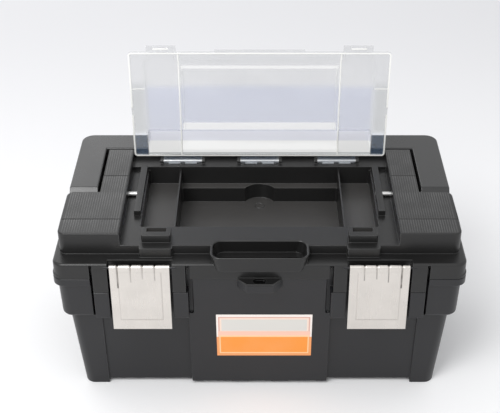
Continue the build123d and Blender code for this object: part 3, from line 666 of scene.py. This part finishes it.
FINISHES: tuple[Finish, ...] = (
    # Each moulded plastic's second colour goes on its rubbed edges, partly as a painted highlight.
    MouldedPlastic("tub_plastic", (0.0115, 0.0115, 0.013), (0.060, 0.060, 0.061)),
    # Lighter than the lid's own plastic: painted light on the bins' floors and in the catch slots.
    MouldedPlastic("floor_painted_light", (0.052, 0.050, 0.048), (0.09, 0.09, 0.088), roughness=0.31),
    # Near black: painted shade in the padlock slot.
    MouldedPlastic("slot_painted_shade", (0.002, 0.002, 0.002), (0.004, 0.004, 0.004), roughness=0.75,
                   specular=0.08),
    MouldedPlastic("lid_plastic", (0.0100, 0.0098, 0.0097), (0.085, 0.085, 0.084)),
    MouldedPlastic("handle_plastic", (0.020, 0.020, 0.020), (0.095, 0.095, 0.095), roughness=0.25,
                   specular=0.62),
    MouldedPlastic("tray_plastic", (0.014, 0.014, 0.015), (0.04, 0.04, 0.04)),
    ClearPlastic("clear_plastic"),
    # Near white: the painted highlight on the cover's rims and ribs.
    ClearPlastic("clear_edge_highlight", colour=(0.99, 0.99, 0.95), haze=0.86, knuckle_top=0.19, bands=()),
    # The latch's flutes and the edges of its raised field get lines of painted shade.
    StampedSteel("latch_steel", crease_shades=(
        Patch(0.1493, 0.0008, 0.1560, 0.1835, 0.95),
        Patch(0.1353, 0.0005, 0.1640, 0.1835, 0.70),
        Patch(0.1229, 0.0005, 0.1680, 0.1835, 0.60),
        Patch(0.1100, 0.0005, 0.1660, 0.1835, 0.65),
        Patch(0.1488, 0.0003, 0.1145, 0.1560, 0.30),
        Patch(0.1032, 0.0003, 0.1145, 0.1760, 0.30),
        Patch(0.1260, 0.0228, 0.1141, 0.1147, 0.30),
    )),
    StampedSteel("pin_steel", (0.74, 0.74, 0.73), 0.3, 0.04),
    StampedSteel("dark_steel", (0.05, 0.05, 0.052), 0.4, 0.06),
    PrintedFilm("label_film"),
)


def make_piece(name: str, shape: BMesh, material: Material,
               smooth_degrees: float = 38.0) -> Object:
    """Makes a piece at the origin, with smooth shading up to an angle.

    Args:
        name: The piece's name.
        shape: Its open bmesh, which is freed.
        material: Its finish.
        smooth_degrees: Largest angle that is shaded smooth.

    Returns:
        The new object.
    """
    mesh = bpy.data.meshes.new(name)
    for face in shape.faces:
        face.smooth = True
        face.material_index = 0
    shape.to_mesh(mesh)
    shape.free()
    mesh.materials.append(material)
    mesh.set_sharp_from_angle(angle=math.radians(smooth_degrees))
    piece = bpy.data.objects.new(name, mesh)
    bpy.context.scene.collection.objects.link(piece)
    LOG.info("%s: %d faces", name, len(mesh.polygons))
    return piece


def paint_faces(piece: Object, material: Material, chosen: Callable[[MeshPolygon], bool]) -> None:
    """Gives some faces of a dressed piece a material of their own, used here for painted light,
    painted shade and painted highlights.

    Args:
        piece: The dressed piece.
        material: Their finish.
        chosen: Says whether a face gets it.
    """
    piece.data.materials.append(material)
    index = len(piece.data.materials) - 1
    for face in piece.data.polygons:
        if chosen(face):
            face.material_index = index


def join_lines(shape: BMesh, near: Sequence[BMVert], far: Sequence[BMVert]) -> list[BMFace]:
    """Joins two lines of corners by a strip of faces.

    Args:
        shape: The open bmesh.
        near: The first line. A ring's line ends with its first corner.
        far: The second line, with as many corners.

    Returns:
        The new faces.
    """
    return [shape.faces.new((near[index], near[index + 1], far[index + 1], far[index]))
            for index in range(len(near) - 1)]


def smooth_step(value: float, width: float) -> float:
    """A smooth step from 0 to 1 over a width that starts at 0."""
    share = min(max(value / width, 0.0), 1.0)
    return share * share * (3.0 - 2.0 * share)


@dataclass
class MouldedShell:
    """A moulded piece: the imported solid's shape with its sharp edges rounded."""

    node: str
    body: str
    slot: str
    edge: Edge = Edge.SOFT
    edge_segments: int = 2
    join_distance: float = 2e-6
    flat_degrees: float = 0.4
    least_degrees: float = 28.0
    stray_share: float = 0.75
    weld_distance: float = 1e-6

    def _rounded(self, kept: set[int]) -> tuple[BMesh, set[int]]:
        """Rounds the sharp edges, apart from those that meet at some corners.

        Args:
            kept: Numbers of the corners whose edges stay sharp.

        Returns:
            The open bmesh, and the corners where the rounding ran off the solid.
        """
        shape = bmesh.new()
        shape.from_mesh(bpy.data.objects[self.node].data)
        bmesh.ops.remove_doubles(shape, verts=shape.verts, dist=self.join_distance)
        bmesh.ops.dissolve_limit(shape, angle_limit=math.radians(self.flat_degrees),
                                 verts=shape.verts, edges=shape.edges,
                                 use_dissolve_boundaries=False)
        surface = BVHTree.FromBMesh(shape)
        corners = KDTree(len(shape.verts))
        for vert in shape.verts:
            corners.insert(vert.co, vert.index)
        corners.balance()
        limit = math.radians(self.least_degrees)
        sharp = [edge for edge in shape.edges
                 if len(edge.link_faces) == 2 and edge.calc_face_angle(0.0) > limit
                 and not any(vert.index in kept for vert in edge.verts)]
        bmesh.ops.bevel(shape, geom=sharp, offset=self.edge.value, offset_type="OFFSET",
                        segments=self.edge_segments, profile=0.5, affect="EDGES",
                        clamp_overlap=False, loop_slide=True)
        reach = self.edge.value * self.stray_share
        strays = [vert for vert in shape.verts if surface.find_nearest(vert.co)[3] > reach]
        crowded = {corners.find(edge.other_vert(vert).co)[1]
                   for vert in strays for edge in vert.link_edges}
        return shape, crowded

    def build(self, material: Material) -> Object:
        """Makes the rounded copy and puts it in the node's place.

        Args:
            material: The piece's finish.

        Returns:
            The new piece.
        """
        kept: set[int] = set()
        shape, crowded = self._rounded(kept)
        while crowded - kept:
            kept |= crowded
            shape.free()
            shape, crowded = self._rounded(kept)
        bmesh.ops.remove_doubles(shape, verts=shape.verts, dist=self.weld_distance)
        piece = make_piece(self.node + "_dressed", shape, material)
        weighted = piece.modifiers.new("even_shading", "WEIGHTED_NORMAL")
        weighted.keep_sharp = True
        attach(piece, self.body)
        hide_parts(self.node)
        return piece


@dataclass(frozen=True)
class PaintedRegion:
    """A box in the model's frame, mirrored over X, whose faces get a material of their own, used
    here for painted light and painted shade.

    Attributes:
        low: Lowest distance from the middle, Y and Z.
        high: Highest distance from the middle, Y and Z.
        least_up: Least value of the faces' upward part.
        most_up: Largest value of the faces' upward part.
    """

    low: tuple[float, float, float]
    high: tuple[float, float, float]
    least_up: float
    most_up: float

    def holds(self, face: MeshPolygon) -> bool:
        """Says whether a face's middle lies in the region and the face looks the right way.

        Args:
            face: A face of the dressed piece.

        Returns:
            Whether the region holds it.
        """
        place = (abs(face.center.x), face.center.y, face.center.z)
        inside = all(low < value < high for low, value, high in zip(self.low, place, self.high))
        return inside and self.least_up <= face.normal.z <= self.most_up


PADLOCK_SLOT = PaintedRegion((-0.1, -0.1251, 0.150), (0.0072, -0.1158, 0.1675), -0.7, 0.7)
BIN_FLOORS = PaintedRegion((-0.1, -0.0615, 0.156), (0.1290, 0.0558, 0.1790), 0.9, 1.0)
CATCH_SLOTS = PaintedRegion((0.0985, -0.0835, 0.185), (0.1205, -0.0755, 0.2040), -0.2, 1.0)


@dataclass
class ClearCover(MouldedShell):
    """The standing clear cover, whose free edges and long ribs get a painted highlight, brighter
    than its sheets.
    """

    rim_y: float = 0.0668
    rim_foot_z: float = 0.2080
    rib_x: float = 0.0905
    rib_y: float = 0.0713
    rib_half: float = 0.0009
    least_front: float = 0.5

    def on_highlit_edge(self, face: MeshPolygon) -> bool:
        """Says whether a face lies along the rim or on a rib's back and looks to the front.

        Args:
            face: A face of the dressed cover.

        Returns:
            Whether it gets the painted highlight.
        """
        x, y, z = face.center
        on_rim = y < self.rim_y
        on_rib = y < self.rib_y and abs(abs(x) - self.rib_x) < self.rib_half
        return (on_rim or on_rib) and z > self.rim_foot_z and face.normal.y < -self.least_front


@dataclass
class StampedLatch:
    """A stamped latch plate: rolled over its pin, fluted at the top, with a field and a hook."""

    side: Side
    station: float = 0.126
    width: float = 0.063
    pin_y: float = -0.114
    pin_z: float = 0.180
    roll_radius: float = 0.0030
    length: float = 0.078
    flare: float = 0.0030
    thickness: float = 0.0009
    roll_degrees: float = 250.0
    field_half: float = 0.0228
    field_low: float = 0.0125
    field_top: float = 0.0765
    field_rise: float = 0.0007
    step_width: float = 0.0011
    top_step_width: float = 0.004
    flute_places: tuple[float, ...] = (-0.0233, -0.0093, 0.0031, 0.0160)
    flute_lengths: tuple[float, ...] = (0.026, 0.018, 0.015, 0.016)
    flute_depth: float = 0.0010
    flute_width: float = 0.0009
    hook_width: float = 0.024
    hook_low: float = 0.010
    hook_height: float = 0.0035
    hook_reach: float = 0.0070
    hook_root: float = 0.6
    hook_bend: float = 0.5
    hook_lip: float = 0.62
    hook_throat: float = 1.8
    columns: int = 150
    rows: int = 130
    smooth_degrees: float = 50.0

    def _along(self, distance: float) -> tuple[Vector, Vector]:
        """A point of the sheet's outer line and its outward direction.

        Args:
            distance: Length along the sheet from its lower end.

        Returns:
            The point and the outward direction, both with X at 0.
        """
        end = Vector((0.0, self.pin_y - self.roll_radius - self.flare, self.pin_z - self.length))
        top = Vector((0.0, self.pin_y - self.roll_radius, self.pin_z))
        run = (top - end).length
        if distance <= run:
            lean = math.atan2(self.flare, self.length)
            return end.lerp(top, distance / run), Vector((0.0, -math.cos(lean), math.sin(lean)))
        angle = math.pi - (distance - run) / self.roll_radius
        out = Vector((0.0, math.cos(angle), math.sin(angle)))
        return Vector((0.0, self.pin_y, self.pin_z)) + out * self.roll_radius, out

    def _relief(self, across: float, distance: float) -> float:
        """Height of the stamping above the flat sheet.

        Args:
            across: X from the plate's middle.
            distance: Length along the sheet from its lower end.

        Returns:
            The height, negative where it is sunk.
        """
        sides = smooth_step(self.field_half - abs(across), self.step_width)
        low = smooth_step(distance - self.field_low, self.step_width)
        top = smooth_step(self.field_top - distance, self.top_step_width)
        height = self.field_rise * min(sides, low, top)
        reach = self.length - distance
        for place, length in zip(self.flute_places, self.flute_lengths):
            fade = smooth_step(length - reach, length) if reach > 0 else 1.0
            groove = math.exp(-((across + self.side.value * place) / self.flute_width) ** 2)
            height -= self.flute_depth * groove * fade
        return height

    def _layer(self, shape: BMesh, depth: float) -> list[list[BMVert]]:
        """Adds the corners of one face of the sheet.

        Args:
            shape: The latch's bmesh.
            depth: Distance below the outer face.

        Returns:
            The corners, row by row from the lower end.
        """
        run = math.hypot(self.length, self.flare)
        total = run + math.radians(self.roll_degrees) * self.roll_radius
        layer = []
        for row in range(self.rows + 1):
            distance = total * row / self.rows
            place, out = self._along(distance)
            line = []
            for column in range(self.columns + 1):
                across = self.width * (column / self.columns - 0.5)
                point = place + out * (self._relief(across, distance) - depth)
                point.x = self.side.value * self.station + across
                line.append(shape.verts.new(point))
            layer.append(line)
        return layer

    def _plate(self) -> BMesh:
        """Makes the sheet with its relief and its thickness.

        Returns:
            The latch's bmesh.
        """
        shape = bmesh.new()
        front, back = (self._layer(shape, depth) for depth in (0.0, self.thickness))
        for layer in (front, back):
            for lower, upper in zip(layer, layer[1:]):
                join_lines(shape, lower, upper)
        for end in (0, -1):
            join_lines(shape, front[end], back[end])
            join_lines(shape, [line[end] for line in front], [line[end] for line in back])
        bmesh.ops.recalc_face_normals(shape, faces=shape.faces)
        return shape

    def _hook(self, shape: BMesh) -> None:
        """Adds the bent hook behind the plate.

        Args:
            shape: The latch's bmesh.
        """
        sheet, rise = self.thickness, self.hook_height
        low = self.pin_z - self.length + self.hook_low
        root_y = self._along(self.hook_low)[0].y + sheet * self.hook_root
        nose_y = root_y + self.hook_reach
        line = [(root_y, low), (nose_y - sheet, low), (nose_y, low + rise * self.hook_bend),
                (nose_y, low + rise), (nose_y - sheet, low + rise),
                (nose_y - sheet, low + rise * self.hook_lip),
                (nose_y - self.hook_throat * sheet, low + sheet), (root_y, low + sheet)]
        middle, half = self.side.value * self.station, self.hook_width / 2
        left, right = ([shape.verts.new((x, y, z)) for y, z in line]
                       for x in (middle - half, middle + half))
        faces = [shape.faces.new(left), shape.faces.new(list(reversed(right)))]
        faces += join_lines(shape, left + left[:1], right + right[:1])
        bmesh.ops.recalc_face_normals(shape, faces=faces)

    def build(self, material: Material) -> None:
        """Makes the latch and puts it in its node's place.

        Args:
            material: The steel's finish.
        """
        node = "latch_" + self.side.word
        shape = self._plate()
        self._hook(shape)
        piece = make_piece(node + "_stamped", shape, material, self.smooth_degrees)
        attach(piece, self.side.word + "_latch")
        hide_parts(node)


@dataclass(frozen=True)
class RidgeField:
    """A rectangle of ridges on the right side block, mirrored on the left one."""

    inner_x: float
    outer_x: float
    front_y: float
    rear_y: float


@dataclass
class BlockRidges:
    """Fine ridges that run from front to back over the tops of the lid's side blocks."""

    side: Side
    top_z: float = 0.2104
    pitch: float = 0.0026
    width: float = 0.0013
    height: float = 0.00005
    shoulder: tuple[float, float] = (0.72, 0.62)
    crown: float = 0.3
    end_share: float = 0.55
    smooth_degrees: float = 60.0
    fields: tuple[RidgeField, ...] = (
        RidgeField(0.1495, 0.2085, -0.0932, -0.0686),
        RidgeField(0.1495, 0.2085, -0.0672, -0.0158),
        RidgeField(0.1495, 0.1752, -0.0158, 0.0184),
        RidgeField(0.1495, 0.1752, 0.0196, 0.0762),
    )

    def _tree(self, material: Material) -> NodeTree:
        """Makes the Geometry Nodes tree that lays ridges side by side over one field.

        Args:
            material: The ridges' finish.

        Returns:
            The tree, with inputs for the ridge, the count, the pitch and the first ridge's place.
        """
        tree = bpy.data.node_groups.new("ridge_field", "GeometryNodeTree")
        tree.is_modifier = True
        for label, kind in (("Geometry", "NodeSocketGeometry"), ("Count", "NodeSocketInt"),
                            ("Pitch", "NodeSocketFloat"), ("Start", "NodeSocketVector")):
            tree.interface.new_socket(label, in_out="INPUT", socket_type=kind)
        tree.interface.new_socket("Geometry", in_out="OUTPUT", socket_type="NodeSocketGeometry")
        sheet = NodeSheet(tree)
        given = sheet.add("NodeGroupInput").outputs
        step = sheet.fill(sheet.add("ShaderNodeCombineXYZ"), X=given["Pitch"])
        line = sheet.fill(sheet.add("GeometryNodeMeshLine", mode="OFFSET"), Count=given["Count"],
                          Start_Location=given["Start"], Offset=step.outputs[0])
        place = sheet.fill(sheet.add("GeometryNodeInstanceOnPoints"), Points=line.outputs["Mesh"],
                           Instance=given["Geometry"])
        real = sheet.add("GeometryNodeRealizeInstances")
        sheet.feed(real.inputs[0], place.outputs[0])
        paint = sheet.fill(sheet.add("GeometryNodeSetMaterial"), Geometry=real.outputs[0],
                           Material=material)
        sheet.fill(sheet.add("NodeGroupOutput"), Geometry=paint.outputs[0])
        return tree

    def _ridge(self, length: float) -> Mesh:
        """One low ridge with a rounded back, along Y from the origin.

        Args:
            length: The ridge's length.

        Returns:
            The ridge's mesh.
        """
        half, height = self.width / 2, self.height
        out, up = half * self.shoulder[0], height * self.shoulder[1]
        crown = half * self.crown
        section = [(-half, -height), (-out, up), (-crown, height), (crown, height), (out, up),
                   (half, -height)]
        shape = bmesh.new()
        rings = []
        for y, share in ((0.0, self.end_share), (half, 1.0), (length - half, 1.0),
                         (length, self.end_share)):
            fall = share * 2.0 - 1.0
            rings.append([shape.verts.new((x * share, y, z if z < 0 else z * fall))
                          for x, z in section])
        for near, far in zip(rings, rings[1:]):
            join_lines(shape, near + near[:1], far + far[:1])
        shape.faces.new(rings[0])
        shape.faces.new(list(reversed(rings[-1])))
        bmesh.ops.recalc_face_normals(shape, faces=shape.faces)
        mesh = bpy.data.meshes.new("ridge")
        shape.to_mesh(mesh)
        shape.free()
        return mesh

    def _start(self, area: RidgeField, count: int) -> float:
        """X of a field's first ridge, so that the ridges stand in its middle.

        Args:
            area: The field.
            count: How many ridges it has.

        Returns:
            The X on this block's side.
        """
        span = (count - 1) * self.pitch
        slack = (area.outer_x - area.inner_x - self.width - span) / 2
        start = area.inner_x + self.width / 2 + slack
        return -start - span if self.side is Side.LEFT else start

    def build(self, material: Material) -> None:
        """Lays the ridges on one block.

        Args:
            material: The ridges' finish.
        """
        tree = self._tree(material)
        sockets = {item.name: item.identifier for item in tree.interface.items_tree
                   if item.in_out == "INPUT"}
        joined = bmesh.new()
        for area in self.fields:
            carrier = bpy.data.objects.new("ridge_field", self._ridge(area.rear_y - area.front_y))
            bpy.context.scene.collection.objects.link(carrier)
            count = int((area.outer_x - area.inner_x - self.width) / self.pitch) + 1
            nodes = carrier.modifiers.new("ridges", "NODES")
            nodes.node_group = tree
            nodes[sockets["Count"]] = count
            nodes[sockets["Pitch"]] = self.pitch
            nodes[sockets["Start"]] = (self._start(area, count), area.front_y, self.top_z)
            graph = bpy.context.evaluated_depsgraph_get()
            laid = bpy.data.meshes.new_from_object(carrier.evaluated_get(graph), depsgraph=graph)
            joined.from_mesh(laid)
            bpy.data.objects.remove(carrier)
            bpy.data.meshes.remove(laid)
        name = "block_ridges_" + self.side.word
        piece = make_piece(name, joined, material, self.smooth_degrees)
        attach(piece, "lid")


@dataclass
class PackedPiece:
    """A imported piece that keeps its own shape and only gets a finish."""

    node: str

    def build(self, material: Material) -> None:
        """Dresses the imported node.

        Args:
            material: The piece's finish.
        """
        piece = bpy.data.objects[self.node]
        piece.data.materials.clear()
        piece.data.materials.append(material)
        LOG.info("%s: finish %s", piece.name, material.name)


@dataclass
class SoftLamp:
    """A rectangular soft lamp aimed at a point."""

    name: str
    place: Vector
    target: Vector
    size: tuple[float, float]
    power: float

    def build(self) -> None:
        """Hangs the lamp."""
        data = bpy.data.lights.new(self.name, "AREA")
        data.shape = "RECTANGLE"
        data.size, data.size_y = self.size
        data.energy = self.power
        lamp = bpy.data.objects.new(self.name, data)
        lamp.location = self.place
        lamp.rotation_euler = (self.target - self.place).to_track_quat("-Z", "Y").to_euler()
        bpy.context.scene.collection.objects.link(lamp)


@dataclass
class Studio:
    """Pale floor, pale surroundings, soft lamps and the camera."""

    floor_colour: Colour = (0.80, 0.80, 0.805)
    floor_seen: Colour = (0.93, 0.93, 0.935)
    floor_far: Colour = (0.74, 0.74, 0.755)
    floor_fade: tuple[float, float] = (-0.2, 1.0)
    floor_roughness: float = 0.9
    floor_specular: float = 0.1
    floor_half: float = 6.0
    background: Colour = (0.915, 0.92, 0.93)
    surround: float = 0.92
    lens: float = 78.77
    sensor: float = 36.0
    sight: float = 50.0
    pitch_down: float = 33.65
    camera_place: tuple[float, float, float] = (0.0, -1.0314, 0.8677)
    camera_shift: float = -0.0192
    lamps: list[SoftLamp] = field(default_factory=lambda: [
        SoftLamp("key_lamp", Vector((-0.65, -1.05, 1.68)), Vector((-0.15, -0.05, 0.2)),
                 (0.8, 0.9), 19.0),
        SoftLamp("rear_lamp", Vector((-1.15, 1.75, 1.3)), Vector((0.0, 0.0, 0.2)),
                 (1.9, 1.3), 8.0),
    ])

    def _floor(self) -> None:
        """Lays the pale floor, brighter to the camera than to the object."""
        material, sheet, shader = open_material("studio_floor")
        path = sheet.add("ShaderNodeLightPath")
        far = sheet.ramp(sheet.split(sheet.place())[1], *self.floor_fade)
        seen = sheet.blend(far, self.floor_seen, self.floor_far)
        sheet.fill(shader, Roughness=self.floor_roughness, Specular_IOR_Level=self.floor_specular,
                   Base_Color=sheet.blend(path.outputs["Is Camera Ray"], self.floor_colour, seen))
        shape = bmesh.new()
        half = self.floor_half
        shape.faces.new([shape.verts.new((x * half, y * half, 0.0))
                         for x, y in ((-1, -1), (1, -1), (1, 1), (-1, 1))])
        floor = make_piece("studio_floor", shape, material)

    def _surroundings(self) -> None:
        """Makes a plain pale world, brightest where the camera, gloss and clear plastic see it."""
        world = bpy.data.worlds.new("studio_surroundings")
        bpy.context.scene.world = world
        world.use_nodes = True
        world.node_tree.nodes.clear()
        sheet = NodeSheet(world.node_tree)
        path = sheet.add("ShaderNodeLightPath").outputs
        seen = sheet.math("MAXIMUM", path["Is Camera Ray"], path["Is Glossy Ray"])
        seen = sheet.math("MAXIMUM", seen, path["Is Transmission Ray"])
        backdrop = sheet.fill(sheet.add("ShaderNodeBackground"), Color=self.background,
                              Strength=sheet.ramp(seen, 0.0, 1.0, self.surround, 1.0))
        sheet.fill(sheet.add("ShaderNodeOutputWorld"), Surface=backdrop.outputs[0])

    def _camera(self) -> None:
        """Places the camera at the photograph's viewing angle."""
        data = bpy.data.cameras.new("photo_camera")
        data.lens = self.lens
        data.sensor_width = self.sensor
        data.shift_x = self.camera_shift
        data.clip_end = self.sight
        camera = bpy.data.objects.new("photo_camera", data)
        camera.location = self.camera_place
        camera.rotation_euler = (math.radians(90.0 - self.pitch_down), 0.0, 0.0)
        bpy.context.scene.collection.objects.link(camera)
        bpy.context.scene.camera = camera

    def build(self) -> None:
        """Sets the whole studio up."""
        self._floor()
        self._surroundings()
        for lamp in self.lamps:
            lamp.build()
        self._camera()
        bpy.context.scene.view_settings.view_transform = "Standard"
        LOG.info("studio: %d lamps", len(self.lamps))


def main() -> None:
    """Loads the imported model, dresses every piece and sets the studio up."""
    logging.basicConfig(level=logging.INFO, format="%(message)s")
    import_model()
    effects = SurfaceEffects()
    looks = {finish.name: finish.build(effects) for finish in FINISHES}

    tub = MouldedShell("tub_shell", "tub", "black_plastic").build(looks["tub_plastic"])
    lid = MouldedShell("lid_shell", "lid", "lid_plastic", Edge.CRISP).build(looks["lid_plastic"])
    # The padlock slot gets painted shade.
    for piece in (tub, lid):
        paint_faces(piece, looks["slot_painted_shade"], PADLOCK_SLOT.holds)
    # The bins' floors and the catch slots get painted light.
    paint_faces(lid, looks["floor_painted_light"],
                lambda face: BIN_FLOORS.holds(face) or CATCH_SLOTS.holds(face))
    MouldedShell("carry_handle", "handle", "handle_plastic").build(looks["handle_plastic"])
    for node in ("lift_out_tray", "tray_handle"):
        MouldedShell(node, "tub", "tray_plastic", Edge.CRISP).build(looks["tray_plastic"])
    for side in Side:
        divider = MouldedShell("bin_divider_" + side.word, "lid", "lid_plastic", Edge.THIN)
        divider.build(looks["lid_plastic"])
        StampedLatch(side).build(looks["latch_steel"])
        BlockRidges(side).build(looks["lid_plastic"])
        for stem in ("lid_hinge_pin_", "cover_pin_", "handle_pin_"):
            PackedPiece(stem + side.word).build(looks["pin_steel"])
        PackedPiece("latch_pin_" + side.word).build(looks["dark_steel"])
    PackedPiece("cover_pin_centre").build(looks["pin_steel"])
    # The cover's rims and ribs get the painted highlight.
    cover = ClearCover("clear_cover", "cover", "clear_plastic", Edge.CLEAR)
    paint_faces(cover.build(looks["clear_plastic"]), looks["clear_edge_highlight"], cover.on_highlit_edge)
    PackedPiece("front_label").build(looks["label_film"])

    Studio().build()


if __name__ == "__main__":
    main()
